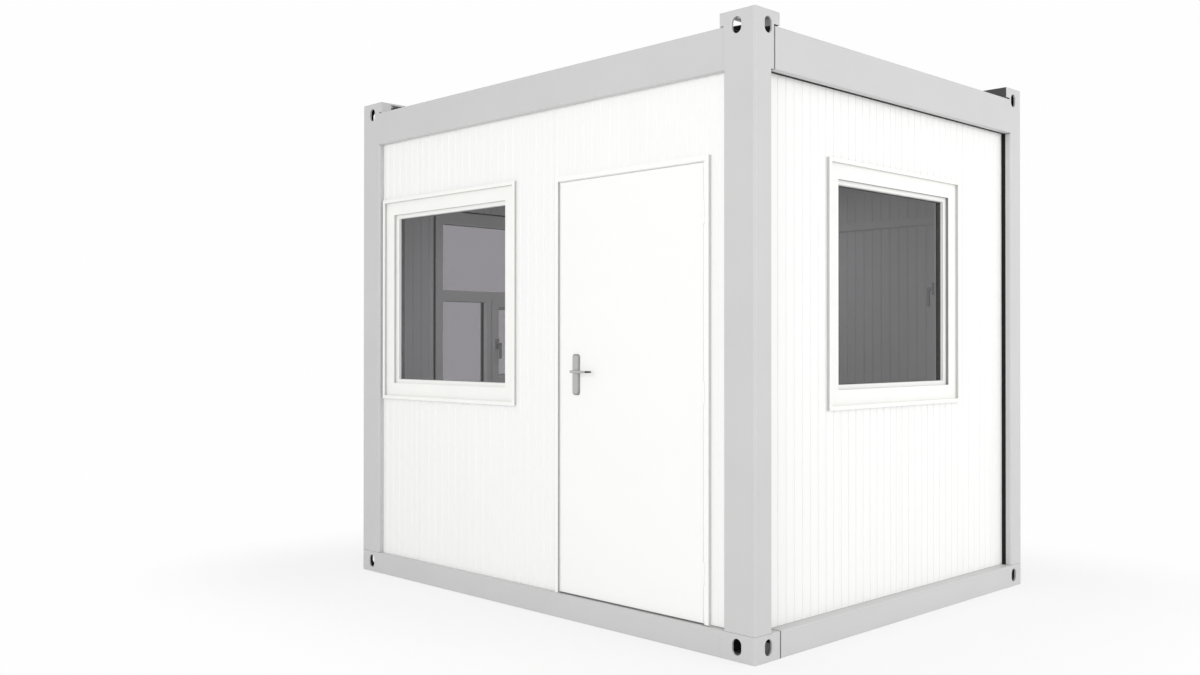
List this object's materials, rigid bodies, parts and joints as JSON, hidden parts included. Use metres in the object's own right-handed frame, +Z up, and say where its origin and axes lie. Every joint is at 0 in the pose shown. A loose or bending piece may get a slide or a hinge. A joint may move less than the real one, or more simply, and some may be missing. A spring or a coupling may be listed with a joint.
{
  "type": "security guard booth",
  "caption": "Small steel-framed cabin with pale ribbed sandwich walls, square windows, a wide divided window and a hinged door.",
  "frame": {"origin": "centre of the plan at the level that the booth stands on, the centre of the four lower corner fittings", "axes": "+Z up, +X along the long side towards the end with the square window, -Y out of the door side"},
  "size_m": [2.989, 2.4655, 2.8],
  "materials": {
    "frame_steel": "satin",
    "wall_sheet": "satin",
    "window_pvc": "smooth",
    "glazing": "clear, grey tint",
    "handle_white": "satin",
    "door_paint": "satin",
    "sill_metal": "mill",
    "handle_metal": "satin anodised",
    "hinge_paint": "satin",
    "zinc_sheet": "galvanised",
    "floor_board": "raw ply",
    "floor_vinyl": "matt",
    "ceiling_board": "satin",
    "roof_paint": "satin"
  },
  "bodies": {
    "cabin": {"back_wall": "wall_sheet", "ceiling": "ceiling_board", "corner_post_back_left": "frame_steel", "corner_post_back_right": "frame_steel", "corner_post_front_left": "frame_steel", "corner_post_front_right": "frame_steel", "door_frame": "door_paint", "door_hinges_on_frame": "hinge_paint", "door_threshold": "sill_metal", "floor_beam_back": "frame_steel", "floor_beam_front": "frame_steel", "floor_beam_left": "frame_steel", "floor_beam_right": "frame_steel", "floor_covering": "floor_vinyl", "floor_deck": "floor_board", "floor_fitting_back_left": "frame_steel", "floor_fitting_back_right": "frame_steel", "floor_fitting_front_left": "frame_steel", "floor_fitting_front_right": "frame_steel", "floor_joists": "zinc_sheet", "front_wall_beside_door": "wall_sheet", "front_wall_over_door": "wall_sheet", "front_wall_window_side": "wall_sheet", "front_window_frame": "window_pvc", "front_window_glass": "glazing", "front_window_sash": "window_pvc", "left_wall": "wall_sheet", "left_window_frame": "window_pvc", "left_window_glass": "glazing", "left_window_sash": "window_pvc", "right_wall": "wall_sheet", "right_window_frame": "window_pvc", "right_window_glass": "glazing", "right_window_sash": "window_pvc", "roof_beam_back": "frame_steel", "roof_beam_front": "frame_steel", "roof_beam_left": "frame_steel", "roof_beam_right": "frame_steel", "roof_fitting_back_left": "frame_steel", "roof_fitting_back_right": "frame_steel", "roof_fitting_front_left": "frame_steel", "roof_fitting_front_right": "frame_steel", "roof_purlins": "zinc_sheet", "roof_sheet": "roof_paint", "underfloor_sheet": "zinc_sheet", "window_handles": "handle_white"},
    "door": {"door_leaf": "door_paint", "door_handle_plates": "handle_metal", "door_hinges_on_leaf": "hinge_paint"},
    "lever": {"door_lever": "handle_metal"}
  },
  "joints": [
    {"name": "door_hinge", "type": "hinge", "parent": "cabin", "child": "door", "pos_m": [1.1955, -1.1975, 1.15], "axis": [0, 0, 1], "range_deg": [0, 110]},
    {"name": "lever_turn", "type": "hinge", "parent": "door", "child": "lever", "pos_m": [0.3685, -1.171, 1.226], "axis": [0, 1, 0], "range_deg": [0, 40], "stiffness_Nm_per_rad": 2, "springref_deg": -17.19}
  ]
}
